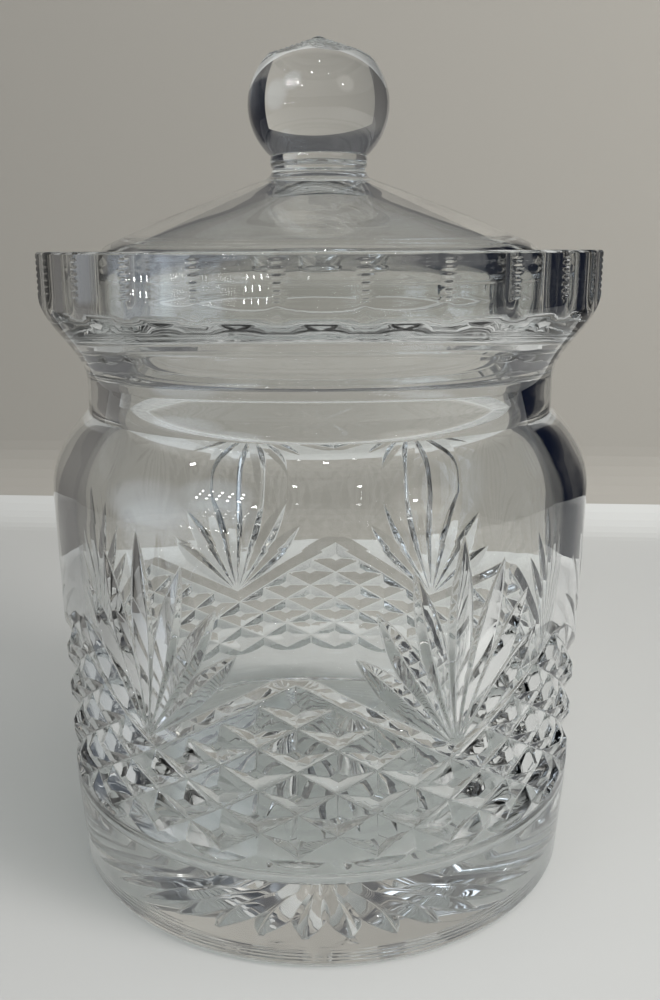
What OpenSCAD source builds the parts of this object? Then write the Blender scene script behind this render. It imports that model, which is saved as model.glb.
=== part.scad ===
// Cut crystal biscuit jar with a lift-off domed lid.
// Millimetres, +Z up, origin at the middle of the underside of the foot.

/* [Jar blank] */
// Radius of the barrel at its widest line
belly_r = 68.8; // [66:0.2:72]
// Height of the widest line of the barrel
belly_z = 100; // [94:1:104]
// How far the foot's side wall starts inside the widest line
foot_inset = 2.9; // [1:0.1:5]
// Radius of the polished edge under the foot
foot_edge = 2; // [1:0.5:3]
// Height of the plain foot band below the cut pattern
foot_h = 22; // [18:1:26]
// How far the wall lies inside the widest line at the top of the foot band
band_inset = 1.3; // [0.4:0.1:3]
// Height of the shoulder, from the widest line up to the neck crease
shoulder_h = 19.5; // [14:0.5:24]
// Width of the shoulder, from the widest line in to the neck
shoulder_w = 9.9; // [8:0.1:13]
// Share of a quarter ellipse that the shoulder makes, in degrees of its 90
shoulder_turn = 36; // [25:1:60]
// Height of the straight part of the neck
neck_h = 8; // [6:0.5:12]
// Height of the curve that flares from the neck to the gallery
flare_h = 21; // [16:0.5:24]
// How far the rim stands out past the widest line, on the ridges between the flutes
rim_out = 0.6; // [-1:0.1:2]
// Height of the straight gallery wall above the flare
gallery_h = 9.5; // [7:0.5:14]

/* [Jar inside] */
// Thickness of the glass floor
floor_t = 18; // [14:0.5:20]
// Wall thickness at the widest line
belly_wall = 6.4; // [5:0.2:8]
// Wall thickness at the foot band
band_wall = 7; // [6:0.2:9]
// Radius of the rounded inner heel, between floor and wall
heel_r = 7; // [4:0.5:10]
// Wall thickness of the neck
neck_wall = 7.8; // [6:0.2:9]
// Wall thickness of the gallery rim
rim_wall = 6.2; // [4.5:0.2:7]
// Depth of the gallery, from the rim down to the ledge that carries the lid
gallery_depth = 13.5; // [11:0.5:19]
// Width of the ground bevel on the inner edge of the ledge
ledge_bevel = 2.4; // [1:0.2:3]
// Height of that bevel
ledge_bevel_h = 3.6; // [2:0.2:5]
// Radius of the soft edges of the rim
rim_edge = 0.8; // [0.4:0.1:1.2]

/* [Rim flutes] */
// Number of vertical flutes round the gallery
flute_count = 26; // [20:2:32]
// Depth of a flute below its ridges' circle
flute_depth = 1.3; // [0.9:0.1:2]
// Share of the rim left uncut as a narrow land on each ridge
flute_land = 0.04; // [0.02:0.01:0.2]
// Turn of the flutes' ridges from the front peak of the diamonds, in degrees
flute_turn = -2.2; // [-7.5:0.1:7.5]

/* [Cut diamonds] */
// Number of repeats of the pattern round the jar
repeats = 6; // [5:1:7]
// Diamond columns in one repeat
columns = 4; // [4:1:4]
// Height of one diamond
diamond_h = 20.8; // [17:0.2:22]
// Height of the lowest tips of the diamonds
diamond_z = 28.4; // [26:0.2:32]
// Depth of the grooves between the diamonds
groove_depth = 2; // [1:0.1:2.4]
// Width of a groove at the surface
groove_w = 7; // [4:0.2:7.4]

/* [Cut fans] */
// Leaves in one fan
leaves = 7; // [5:2:9]
// Angle between neighbouring leaves
leaf_step = 15; // [10:1:16]
// Length of the middle leaf
leaf_long = 47; // [36:1:50]
// Length lost by each leaf outwards from the middle one
leaf_fall = 5; // [2:0.5:6]
// Place of a leaf's widest point, as a share of its length
leaf_belly = 0.58; // [0.4:0.02:0.7]
// Width of a leaf
leaf_w = 5.8; // [4:0.2:6.4]
// Depth of a leaf
leaf_depth = 1.8; // [1:0.1:2.4]
// Height of the point that the leaves spring from
fan_z = 54; // [52:0.5:58]
// Distance from that point to the start of a leaf
leaf_start = 4; // [2:0.5:8]

/* [Star under the foot] */
// Rays of the star cut into the underside
star_rays = 30; // [20:2:36]
// Radius at which the rays start
star_start = 6; // [4:1:12]
// Width of the flat ring between the tips of the rays and the foot's edge
star_ring = 17.9; // [10:0.1:24]
// Depth of a ray at its middle
star_depth = 2.6; // [1:0.2:4]
// Width of a ray at its middle
star_w = 6.8; // [4:0.2:8]
// Place of a ray's middle, as a share of its length
star_mid = 0.62; // [0.5:0.02:0.7]

/* [Lid cover] */
// Gap all round between the cover's side and the gallery's inner wall
lid_gap = 8.2; // [6:0.2:8.4]
// Height of the straight side above the ledge
lid_side_h = 10.7; // [8:0.1:18]
// Radius of the round edge between side and dome
lid_edge_r = 5; // [3:0.5:7]
// Slope of the dome at that edge, in degrees
lid_slope_low = 25; // [18:1:30]
// Rise of the dome from its edge to the foot of the stem
dome_h = 15.3; // [10:0.1:18]
// Slope of the dome at the foot of the stem, in degrees
lid_slope_top = 20; // [12:1:24]
// Glass thickness of the cover
lid_wall = 4.8; // [3.5:0.1:6]
// Radius of the stem
stem_r = 11.5; // [9:0.1:14]
// Radius of the fillet from the stem to the dome
stem_fillet = 3; // [2:0.2:8]
// Radius of the small pocket at the top of the hollow
pocket_r = 7.5; // [5:0.5:9]
// Height of that pocket
pocket_h = 2.4; // [1:0.2:3]

/* [Lid knob] */
// Radius of the ring of glass between stem and ball
collar_r = 12; // [11:0.1:15]
// Thickness of that ring
collar_h = 2.8; // [2:0.1:5]
// Radius of the ball at its widest line
ball_r = 17.3; // [15:0.1:20]
// Height of the uncut ball above and below that line
ball_h = 16.2; // [14:0.1:19]
// Facets of the cut top of the ball
facets = 6; // [4:1:10]
// Slope of the facets, in degrees
facet_slope = 22.5; // [18:0.5:34]
// Turn of the facets' middles from the front peak of the diamonds, in degrees
facet_turn = 23; // [0:0.5:60]
// Drop of the cut peak below the uncut top of the ball
peak_drop = 0.4; // [0.2:0.1:4]

/* [Hidden] */
glass = [0.86, 0.88, 0.88, 0.45];
$fn = 120;
curve_steps = 10;
// How far a groove's cutter stands out of the glass, so that it clears the round wall
cut_clear = 0.4;
// Direction that a peak of the diamonds faces
front_a = -90;

// Outer radii of the jar, all measured in from its widest line
foot_r = belly_r - foot_inset;
band_r = belly_r - band_inset;
neck_r = belly_r - shoulder_w;
rim_r = belly_r + rim_out;

// Heights of the jar, from the foot up
crease_z = belly_z + shoulder_h;
flare_z = crease_z + neck_h;
gallery_z = flare_z + flare_h;
rim_z = gallery_z + gallery_h;
ledge_z = rim_z - gallery_depth;

// Inner radii of the jar, and the cover that stands inside the gallery
belly_in = belly_r - belly_wall;
band_in = band_r - band_wall;
neck_in = neck_r - neck_wall;
rim_in = rim_r - rim_wall;
lid_r = rim_in - lid_gap;

// Whole ellipse of the shoulder: its height and its width for each millimetre that it comes in
shoulder_tall = shoulder_h / sin(shoulder_turn);
shoulder_wide = 1 / (1 - cos(shoulder_turn));

// Reach of the star
star_r = foot_r - foot_edge - star_ring;

// Pattern sizes
column_a = 360 / (repeats * columns);
level_h = diamond_h / 2;

// Heights of the lid, which stands on the ledge
lid_edge_z = ledge_z + lid_side_h;
dome_r0 = lid_r - lid_edge_r * (1 - sin(lid_slope_low));
dome_z0 = lid_edge_z + lid_edge_r * cos(lid_slope_low);
stem_foot_r = stem_r + stem_fillet * (1 - sin(lid_slope_top));
stem_foot_z = dome_z0 + dome_h;
stem_z = stem_foot_z + stem_fillet * cos(lid_slope_top);
collar_z = stem_z + collar_h;
ball_low = acos(collar_r / ball_r);
ball_z = collar_z + ball_h * sin(ball_low);

// Points of a round stretch from angle a0 to a1
function arc(cx, cz, rx, rz, a0, a1, n) =
    [for (i = [0:n]) let (a = a0 + (a1 - a0) * i / n) [cx + rx * cos(a), cz + rz * sin(a)]];

// Point of a cubic curve between p0 and p3, steered by p1 and p2
function cubic(p0, p1, p2, p3, t) =
    pow(1 - t, 3) * p0 + 3 * t * pow(1 - t, 2) * p1 + 3 * t * t * (1 - t) * p2 + t * t * t * p3;

// Outer radius of the neck and gallery at a height
function flare_radius(z) =
    z <= flare_z ? neck_r :
    z >= gallery_z ? rim_r :
    neck_r + (rim_r - neck_r) * (1 - cos(180 * (z - flare_z) / flare_h)) / 2;

// Outer radius of the body between the foot band and the crease
function body_radius(z) =
    z <= belly_z ? band_r + (belly_r - band_r) * (z - foot_h) / (belly_z - foot_h) :
    belly_r - shoulder_w * shoulder_wide * (1 - sqrt(1 - pow((z - belly_z) / shoulder_tall, 2)));

// Shoulder that comes in by a width from a radius at the widest line, between two of its angles
function shoulder(edge_r, width, a0, a1) =
    arc(edge_r - width * shoulder_wide, belly_z, width * shoulder_wide, shoulder_tall, a0, a1, curve_steps);

// Outside of the body, from the middle of the underside to the neck crease
function body_outside() = concat(
    [[0, 0]],
    arc(foot_r - foot_edge, foot_edge, foot_edge, foot_edge, -90, 0, 4),
    [[band_r, foot_h]],
    shoulder(belly_r, shoulder_w, 0, shoulder_turn)
);

// Inside of the body, from the neck crease to the middle of the floor
function body_inside() = concat(
    shoulder(belly_in, belly_in - neck_in, shoulder_turn, 0),
    arc(band_in - heel_r, floor_t + heel_r, heel_r, heel_r, 0, -90, 5),
    [[0, floor_t]]
);

// Outside of the neck and gallery, from the crease to the rim
function gallery_outside() = concat(
    [[neck_r, crease_z]],
    [for (i = [0:curve_steps + 2])
        let (z = flare_z + flare_h * i / (curve_steps + 2)) [flare_radius(z), z]],
    arc(rim_r - rim_edge, rim_z - rim_edge, rim_edge, rim_edge, 0, 90, 3)
);

// Inside of the gallery, from the rim over the ledge to the crease
function gallery_inside() = concat(
    arc(rim_in + rim_edge, rim_z - rim_edge, rim_edge, rim_edge, 90, 180, 3),
    [[rim_in, ledge_z], [neck_in + ledge_bevel, ledge_z], [neck_in, ledge_z - ledge_bevel_h]],
    [[neck_in, crease_z]]
);

// Point of the wall at an angle round the jar and a height, moved outwards by out
function on_wall(a, z, out) = [(body_radius(z) + out) * cos(a), (body_radius(z) + out) * sin(a), z];

// The same for a step along (u) and up (v) the unrolled wall from a start at angle a, height z
function from_point(a, z, u, v, out) = on_wall(a + u / body_radius(z) * 180 / PI, z + v, out);

// A pointed cut: two tips, two sides, the deepest point and a point well clear of the glass
module pointed_cut(tip0, tip1, left, right, deep, clear) {
    polyhedron(
        points = [tip0, tip1, left, right, deep, clear],
        faces = [[0, 4, 3], [3, 4, 1], [1, 4, 2], [2, 4, 0], [0, 3, 5], [3, 1, 5], [1, 2, 5], [2, 0, 5]]
    );
}

// A V groove through a row of three-point sections, with a flat cap at each end
module groove(sections) {
    n = len(sections);
    polyhedron(
        points = [for (s = sections, p = s) p],
        faces = concat(
            [[0, 1, 2], [3 * n - 1, 3 * n - 2, 3 * n - 3]],
            [for (i = [0:n - 2], k = [0:2]) [3 * i + k, 3 * i + 3 + k, 3 * i + (k + 1) % 3]],
            [for (i = [0:n - 2], k = [0:2])
                [3 * i + 3 + k, 3 * i + 3 + (k + 1) % 3, 3 * i + (k + 1) % 3]]
        )
    );
}

// One flute of the gallery, a shallow hollow between two ridges
module flute() {
    half_a = 180 / flute_count * (1 - flute_land);
    chord = rim_r * sin(half_a);
    sag = flute_depth - rim_r * (1 - cos(half_a));
    r = (chord * chord + sag * sag) / (2 * sag);
    translate([rim_r - flute_depth + r, 0, crease_z])
        cylinder(h = rim_z - crease_z + 1, r = r);
}

// One groove of the diamonds: from a lowest tip it climbs to one side through this many levels
module diamond_groove(side, levels) {
    step_u = body_radius(fan_z) * column_a * PI / 180;
    slope = atan(level_h / step_u);
    half_w = groove_w / 2 * (groove_depth + cut_clear) / groove_depth;
    groove([for (i = [0:2 * levels])
        let (
            u = side * step_u * i / 2,
            v = level_h * i / 2,
            depth = i == 0 || i == 2 * levels ? groove_depth / 4 : groove_depth,
            across = [-side * sin(slope), cos(slope)] * half_w
        )
        [
            from_point(0, diamond_z + v, u, 0, -depth),
            from_point(0, diamond_z + v, u + side * across[0], side * across[1], cut_clear),
            from_point(0, diamond_z + v, u - side * across[0], -side * across[1], cut_clear)
        ]
    ]);
}

// One leaf of a fan, leaning from upright by an angle; it is widest past its middle
module fan_leaf(lean, length) {
    mid = leaf_start + (length - leaf_start) * leaf_belly;
    across = [cos(lean), -sin(lean)] * leaf_w / 2;
    along = [sin(lean), cos(lean)];
    pointed_cut(
        from_point(0, fan_z, leaf_start * along[0], leaf_start * along[1], 0.05),
        from_point(0, fan_z, length * along[0], length * along[1], 0.05),
        from_point(0, fan_z, mid * along[0] + across[0], mid * along[1] + across[1], 0.2),
        from_point(0, fan_z, mid * along[0] - across[0], mid * along[1] - across[1], 0.2),
        from_point(0, fan_z, mid * along[0], mid * along[1], -leaf_depth),
        from_point(0, fan_z, mid * along[0], mid * along[1], leaf_depth)
    );
}

module fan() {
    half = (leaves - 1) / 2;
    for (i = [-half:half])
        fan_leaf(i * leaf_step, leaf_long - abs(i) * leaf_fall);
}

// One ray of the star under the foot
module star_ray() {
    mid = star_start + (star_r - star_start) * star_mid;
    pointed_cut(
        [star_start, 0, 0], [star_r, 0, 0], [mid, star_w / 2, 0], [mid, -star_w / 2, 0],
        [mid, 0, star_depth], [mid, 0, -star_depth]
    );
}

// All the grooves that climb to one side
module diamond_grooves(side) {
    for (i = [0:repeats * columns - 1])
        rotate([0, 0, front_a + side * i * column_a])
            diamond_groove(side, columns - (i % columns) / 2);
}

// The barrel with its thick floor, up to the neck crease
module jar_body() {
    color(glass)
        difference() {
            difference() {
                rotate_extrude()
                    polygon(concat(body_outside(), body_inside()));
                diamond_grooves(-1);
            }
            diamond_grooves(1);
            for (i = [0:repeats - 1])
                rotate([0, 0, front_a + (i + 0.5) * 360 / repeats])
                    fan();
            for (i = [0:star_rays - 1])
                rotate([0, 0, front_a + i * 360 / star_rays])
                    star_ray();
        }
}

// The neck and the flared gallery, which the same glass forms above the crease
module jar_gallery() {
    color(glass)
        difference() {
            rotate_extrude()
                polygon(concat(gallery_outside(), gallery_inside()));
            for (i = [0:flute_count - 1])
                rotate([0, 0, front_a + flute_turn + (i + 0.5) * 360 / flute_count])
                    flute();
        }
}

// Outside of the cover, from its ground lower edge up to the top of the stem
function cover_outside() =
    let (
        reach = (dome_r0 - stem_foot_r) / 3,
        p0 = [dome_r0, dome_z0],
        p1 = p0 + reach * [-cos(lid_slope_low), sin(lid_slope_low)],
        p3 = [stem_foot_r, stem_foot_z],
        p2 = p3 + reach * [cos(lid_slope_top), -sin(lid_slope_top)]
    )
    concat(
        [[lid_r, ledge_z]],
        arc(lid_r - lid_edge_r, lid_edge_z, lid_edge_r, lid_edge_r, 0, 90 - lid_slope_low, 4),
        [for (i = [1:curve_steps]) cubic(p0, p1, p2, p3, i / curve_steps)],
        arc(stem_r + stem_fillet, stem_z, stem_fillet, stem_fillet, 270 - lid_slope_top, 180, 4)
    );

// Inside of the cover, from the middle of its hollow down to its lower edge
function cover_inside() =
    let (
        in_r = lid_r - lid_wall,
        edge_r = lid_edge_r,
        low_r = in_r - edge_r * (1 - sin(lid_slope_low)),
        low_z = lid_edge_z - lid_wall / 2 + edge_r * cos(lid_slope_low),
        top_z = stem_foot_z - lid_wall / cos(lid_slope_top),
        reach = (low_r - pocket_r) / 3,
        p0 = [pocket_r, top_z],
        p1 = p0 + reach * [cos(lid_slope_top), -sin(lid_slope_top)],
        p3 = [low_r, low_z],
        p2 = p3 + reach * [-cos(lid_slope_low), sin(lid_slope_low)]
    )
    concat(
        arc(0, top_z, pocket_r, pocket_h, 90, 0, 6),
        [for (i = [1:curve_steps]) cubic(p0, p1, p2, p3, i / curve_steps)],
        arc(in_r - edge_r, lid_edge_z - lid_wall / 2, edge_r, edge_r, 90 - lid_slope_low, 0, 4),
        [[in_r, ledge_z]]
    );

module lid_cover() {
    color(glass)
        rotate_extrude()
            polygon(concat(cover_outside(), cover_inside()));
}

module lid_collar() {
    bulge = collar_h / 2;
    color(glass)
        rotate_extrude()
            polygon(concat(
                [[0, stem_z]],
                arc(collar_r - bulge / 4, stem_z + bulge, bulge / 4, bulge, -90, 90, 8),
                [[0, collar_z]]
            ));
}

// The slightly flattened ball, with flat facets that meet in a low peak on top
module lid_knob() {
    facet_distance = (ball_h - peak_drop) * cos(facet_slope);
    color(glass)
        translate([0, 0, ball_z])
            rotate([0, 0, facet_turn - 180 / facets])
                difference() {
                    rotate_extrude()
                        polygon(concat(
                            arc(0, 0, ball_r, ball_h, -ball_low, 90, 4 * curve_steps),
                            [[0, collar_z - ball_z]]
                        ));
                    for (i = [0:facets - 1])
                        rotate([0, facet_slope, front_a + (i + 0.5) * 360 / facets])
                            translate([-2 * ball_r, -2 * ball_r, facet_distance])
                                cube([4 * ball_r, 4 * ball_r, ball_r]);
                }
}

jar_body();
jar_gallery();
lid_cover();
lid_collar();
lid_knob();
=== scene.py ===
import bpy
import numpy as np
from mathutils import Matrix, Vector
from mathutils.geometry import delaunay_2d_cdt


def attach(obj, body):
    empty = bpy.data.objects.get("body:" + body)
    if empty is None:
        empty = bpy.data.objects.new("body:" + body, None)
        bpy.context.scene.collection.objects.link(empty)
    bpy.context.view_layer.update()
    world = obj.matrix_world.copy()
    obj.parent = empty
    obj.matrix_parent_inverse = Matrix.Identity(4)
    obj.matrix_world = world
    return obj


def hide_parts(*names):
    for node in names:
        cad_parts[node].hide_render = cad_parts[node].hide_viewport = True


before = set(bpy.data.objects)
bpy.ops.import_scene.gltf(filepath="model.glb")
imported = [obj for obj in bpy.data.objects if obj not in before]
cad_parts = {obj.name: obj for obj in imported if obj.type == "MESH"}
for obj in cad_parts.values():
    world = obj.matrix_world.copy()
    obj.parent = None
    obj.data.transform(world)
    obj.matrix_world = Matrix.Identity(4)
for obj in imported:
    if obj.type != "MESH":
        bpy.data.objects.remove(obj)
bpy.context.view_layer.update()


# ---------------------------------------------------------------- camera
# A close view from a little above the rim, level with the knob's foot. All sizes below are in
# millimetres and degrees, as the jar's maker would give them, and become metres in the meshes.
CAMERA_TURN = -85.55
CAMERA_REACH = 260.0
CAMERA_HEIGHT = 158.0
CAMERA_TILT = 14.0
CAMERA_ROLL = 0.25
CAMERA_SHIFT = 0.0108

camera = bpy.data.objects.new("camera", bpy.data.cameras.new("camera"))
bpy.context.scene.collection.objects.link(camera)
camera.data.sensor_width = 36.0
camera.data.lens = 36.0
camera.data.shift_x = CAMERA_SHIFT
camera.data.clip_start = 0.01
camera.location = (
    CAMERA_REACH / 1000 * np.cos(np.radians(CAMERA_TURN)),
    CAMERA_REACH / 1000 * np.sin(np.radians(CAMERA_TURN)),
    CAMERA_HEIGHT / 1000,
)
camera.rotation_euler = (
    np.radians(90 - CAMERA_TILT),
    np.radians(CAMERA_ROLL),
    np.radians(CAMERA_TURN + 90),
)
bpy.context.scene.camera = camera


# ---------------------------------------------------------------- jar body, outer wall with its cuts
# The jar is one piece of blown and cut lead glass. A mitre wheel cuts V grooves into the barrel,
# which leave six peaks of low pyramids, and six fans of seven pointed leaves stand between them.
BELLY_R, BELLY_Z = 68.8, 100.0
FOOT_R, BAND_R, FOOT_H = 65.9, 67.5, 22.0
NECK_R, CREASE_Z = 58.9, 119.5
SHOULDER_TURN = np.radians(36)
SHOULDER_WIDE = (BELLY_R - NECK_R) / (1 - np.cos(SHOULDER_TURN))
SHOULDER_TALL = (CREASE_Z - BELLY_Z) / np.sin(SHOULDER_TURN)
COLUMN = 15.0
WALL_SCALE = np.radians(1) * 68.4
LEVEL_H = 10.4
TIP_Z = 28.4
GROOVE_DEPTH, GROOVE_HALF = 2.0, 3.5
GROOVE_SLOPE = GROOVE_DEPTH / GROOVE_HALF
GROOVE_IN, GROOVE_IN_RUN = 6.0, 8.5
GROOVE_OUT, GROOVE_OUT_RUN = 4.0, 6.0
GROOVE_FLOOR, LEAF_FLOOR = 0.02, 0.014
FAN_Z = 53.0
LEAF_LENGTHS = (48.0, 43.0, 38.0, 33.0)
LEAF_STEP, LEAF_START, LEAF_BELLY = 15.0, 1.5, 0.56
LEAF_DEPTH, LEAF_HALF = 1.8, 2.9
PATCH_LOW, PATCH_HIGH = 24.0, 105.0
AROUND = 288
SOFTNESS = 0.12
FLOOR_STRIP, EDGE_STRIP, MITRE_STRIP = 0.25, 0.3, 0.2
LEAF_FLOOR_STRIP, LEAF_EDGE_STRIP = 0.22, 0.28
BEFORE_START, PAST_END = 2.4, 1.4
GRID_STEP, SPLIT_GAP, SPLIT_LEAST = 2.7, 0.045, 0.4


def body_radius(z):
    """A straight taper from the foot band to the widest line, then part of an ellipse in to the neck."""
    taper = BAND_R + (BELLY_R - BAND_R) * (z - FOOT_H) / (BELLY_Z - FOOT_H)
    rise = np.clip((z - BELLY_Z) / SHOULDER_TALL, 0, 1)
    return np.where(z <= BELLY_Z, taper, BELLY_R - SHOULDER_WIDE * (1 - np.sqrt(1 - rise**2)))


def smooth_max(a, b, k):
    """The larger of two fields; where they differ by less than k a parabola joins them."""
    h = np.maximum(k - np.abs(a - b), 0) / k
    return np.maximum(a, b) + h * h * k / 4


def groove_lines():
    """Start, direction and length of each groove near one half repeat, on the unrolled wall."""
    step = np.array([COLUMN * WALL_SCALE, LEVEL_H])
    unit = step / np.hypot(*step)
    lines = []
    for side in (1, -1):
        for i in range(-5, 5):
            levels = 4 - (i % 4) / 2
            start = np.array([side * i * COLUMN * WALL_SCALE, TIP_Z])
            lines.append((start, unit * (side, 1), levels * np.hypot(*step)))
    return lines


def leaf_lines():
    """Start, direction and length of each leaf of the fan beside the half repeat."""
    root = np.array([30 * WALL_SCALE, FAN_Z])
    leaves = []
    for i in range(-3, 4):
        lean = np.radians(i * LEAF_STEP)
        way = np.array([np.sin(lean), np.cos(lean)])
        leaves.append((root + way * LEAF_START, way, LEAF_LENGTHS[abs(i)] - LEAF_START))
    return leaves


GROOVES, LEAVES = groove_lines(), leaf_lines()


def groove_run(s, length):
    """Share of the full depth along a groove: the wheel comes in and lifts out along parabolas."""
    rise = np.clip((GROOVE_IN - s) / GROOVE_IN_RUN, 0, 1.2)
    fall = np.clip((s - length + GROOVE_OUT) / GROOVE_OUT_RUN, 0, 1.2)
    return 1 - np.maximum(rise, fall) ** 2


def leaf_run(s, length):
    """Share of the full depth along a leaf: two parabolas that meet at its widest line."""
    t = s / length
    side = np.where(t < LEAF_BELLY, (LEAF_BELLY - t) / LEAF_BELLY, (t - LEAF_BELLY) / (1 - LEAF_BELLY))
    return 1 - np.minimum(side, 1.5) ** 2


def beside(x, z, start, way):
    """Distance along a cut's line from its start, and distance to the side of it."""
    along = (x - start[0]) * way[0] + (z - start[1]) * way[1]
    across = (x - start[0]) * way[1] - (z - start[1]) * way[0]
    return along, across


def cut_depth(x, z):
    """Depth of glass taken off the wall: the deepest of all V cuts, with edges softened by polish.
    Each V is its depth along the line less its slope times the distance from the line."""
    depth = np.zeros_like(x)
    for start, way, length in GROOVES:
        along, across = beside(x, z, start, way)
        vee = GROOVE_DEPTH * groove_run(along, length) - GROOVE_SLOPE * np.sqrt(across**2 + GROOVE_FLOOR)
        depth = smooth_max(depth, vee, SOFTNESS)
    for start, way, length in LEAVES:
        along, across = beside(x, z, start, way)
        side = LEAF_DEPTH / LEAF_HALF * np.sqrt(across**2 + LEAF_FLOOR)
        depth = smooth_max(depth, LEAF_DEPTH * leaf_run(along, length) - side, SOFTNESS)
    return depth


def banded(points, width):
    """A polyline and its two parallels at this distance, so that a soft edge gets its own strip."""
    points = np.asarray(points, float)
    if len(points) < 2:
        return []
    along = np.gradient(points, axis=0)
    normal = np.stack([-along[:, 1], along[:, 0]], 1) / np.linalg.norm(along, axis=1)[:, None]
    return [points, points + normal * width, points - normal * width]


def segment(a, b, spacing=3.0):
    """Points at even steps along a straight line."""
    a, b = np.asarray(a, float), np.asarray(b, float)
    n = max(2, int(np.hypot(*(b - a)) / spacing) + 1)
    return a + (b - a) * np.linspace(0, 1, n)[:, None]


def cut_edges():
    """Every line along which the wall's slope changes: groove floors, groove edges, the mitres where
    grooves cross, leaf floors, leaf outlines and the ridges between neighbouring leaves."""
    edges = []
    for start, way, length in GROOVES:
        side = np.array([-way[1], way[0]])
        ends = (start - way * BEFORE_START, start + way * (length + PAST_END))
        edges += banded(segment(*ends), FLOOR_STRIP)
        for sign in (1, -1):
            s = np.linspace(-BEFORE_START, length + PAST_END, int(length / 3.0) + 4)
            half = GROOVE_HALF * np.clip(groove_run(s, length), 0, 1)
            edges += banded(start + way * s[:, None] + side * sign * half[:, None], EDGE_STRIP)
    rise = GROOVE_HALF / np.cos(np.arctan2(LEVEL_H, COLUMN * WALL_SCALE))
    reach = rise * COLUMN * WALL_SCALE / LEVEL_H
    for column in range(-1, 6):
        for level in range(0, 9):
            if (column + level) % 2 == 0 and level <= 8 - min(abs(column), 8 - column):
                x, z = column * COLUMN * WALL_SCALE / 2, TIP_Z + level * LEVEL_H / 2
                edges += banded(segment((x, z - rise), (x, z + rise)), EDGE_STRIP)
                edges += banded(segment((x - reach, z), (x + reach, z)), MITRE_STRIP)
    for start, way, length in LEAVES:
        side = np.array([-way[1], way[0]])
        s = np.linspace(0, length, 18)
        middle = start + way * s[:, None]
        edges += banded(middle, LEAF_FLOOR_STRIP)
        for sign in (1, -1):
            half = LEAF_HALF * leaf_run(s, length)
            edges += banded(middle + side * sign * half[:, None], LEAF_EDGE_STRIP)
    root = np.array([30 * WALL_SCALE, FAN_Z])
    rho = np.linspace(2.0, 26, 14)
    for i in range(-3, 3):
        lean = np.radians((i + np.linspace(0, 1, 81)) * LEAF_STEP)
        x = root[0] + rho[:, None] * np.sin(lean)
        z = root[1] + rho[:, None] * np.cos(lean)
        pair = []
        for start, way, length in (LEAVES[i + 3], LEAVES[i + 4]):
            along, across = beside(x, z, start, way)
            pair.append(leaf_run(along, length) - np.abs(across) / LEAF_HALF)
        at = np.abs(pair[0] - pair[1]).argmin(1)
        rows = np.arange(len(rho))
        keep = pair[0][rows, at] > -0.05
        edges += banded(np.stack([x[rows, at], z[rows, at]], 1)[keep], FLOOR_STRIP)
    return edges


def triangulated(points, edges):
    """Constrained Delaunay triangles over loose points and polylines."""
    stacked = [points] + edges
    offsets = np.cumsum([0] + [len(s) for s in stacked])
    links = []
    for at, line in zip(offsets[1:], edges):
        i = np.arange(at, at + len(line) - 1)
        links.append(np.stack([i, i + 1], 1))
    flat = np.concatenate(stacked)
    made = delaunay_2d_cdt([Vector(p) for p in flat], np.concatenate(links).tolist(), [], 0, 1e-5)
    return np.array([tuple(v) for v in made[0]]), np.array(made[2])


def half_repeat():
    """Triangles over the unrolled half repeat, from a peak's middle to a fan's middle; an edge is
    halved where the cut surface between its ends leaves the straight line by more than the limit."""
    right = 30 * WALL_SCALE
    across = np.linspace(0, right, AROUND // 12 + 1)
    frame_lines = [
        np.stack([across, np.full_like(across, PATCH_LOW)], 1),
        np.stack([across, np.full_like(across, PATCH_HIGH)], 1),
        segment((0, PATCH_LOW), (0, PATCH_HIGH), 2.5),
        segment((right, PATCH_LOW), (right, PATCH_HIGH), 2.5),
    ]
    low, high = np.array([-0.001, PATCH_LOW + 0.8]), np.array([right + 0.001, PATCH_HIGH - 0.8])
    edges = []
    for line in cut_edges():
        inside = ((line > low - 3) & (line < high + 3)).all(1)
        runs = np.split(np.arange(len(line)), np.flatnonzero(~inside))
        for run in runs:
            run = run[inside[run]]
            if len(run) > 1:
                edges.append(line[run])
    rows = np.arange(PATCH_LOW + GRID_STEP, PATCH_HIGH - 1, GRID_STEP)
    gx, gz = np.meshgrid(np.linspace(0, right, 14)[1:-1], rows)
    grid = np.stack([gx.ravel(), gz.ravel()], 1)
    for _ in range(2):
        spots, tris = triangulated(grid, frame_lines + edges)
        spots[np.abs(spots[:, 0]) < 1e-3, 0] = 0
        spots[np.abs(spots[:, 0] - right) < 1e-3, 0] = right
        middle = spots[tris].mean(1)
        keep = ((middle > (0, PATCH_LOW)) & (middle < (right, PATCH_HIGH))).all(1)
        tris = tris[keep]
        sides = np.concatenate([tris[:, [0, 1]], tris[:, [1, 2]], tris[:, [2, 0]]])
        pairs = np.unique(np.sort(sides, 1), axis=0)
        a, b = spots[pairs[:, 0]], spots[pairs[:, 1]]
        depth = cut_depth(spots[:, 0], spots[:, 1])
        mid = (a + b) / 2
        gap = np.abs(cut_depth(mid[:, 0], mid[:, 1]) - (depth[pairs[:, 0]] + depth[pairs[:, 1]]) / 2)
        split = (gap > SPLIT_GAP) & (np.hypot(*(a - b).T) > SPLIT_LEAST)
        split &= (mid[:, 0] > 0.05) & (mid[:, 0] < right - 0.05)
        grid = np.concatenate([grid, mid[split]])
    used = np.unique(tris)
    index = np.full(len(spots), -1)
    index[used] = np.arange(len(used))
    spots, tris = spots[used], index[tris]
    a, b, c = spots[tris[:, 0]], spots[tris[:, 1]], spots[tris[:, 2]]
    flip = (b - a)[:, 0] * (c - a)[:, 1] - (b - a)[:, 1] * (c - a)[:, 0] < 0
    tris[flip] = tris[flip][:, ::-1]
    return spots, tris


def turned(radius, angle, z):
    """Points at a radius, an angle round the axis in degrees, and a height."""
    a = np.radians(angle)
    return np.stack([radius * np.cos(a), radius * np.sin(a), z + 0 * a], -1)


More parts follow.
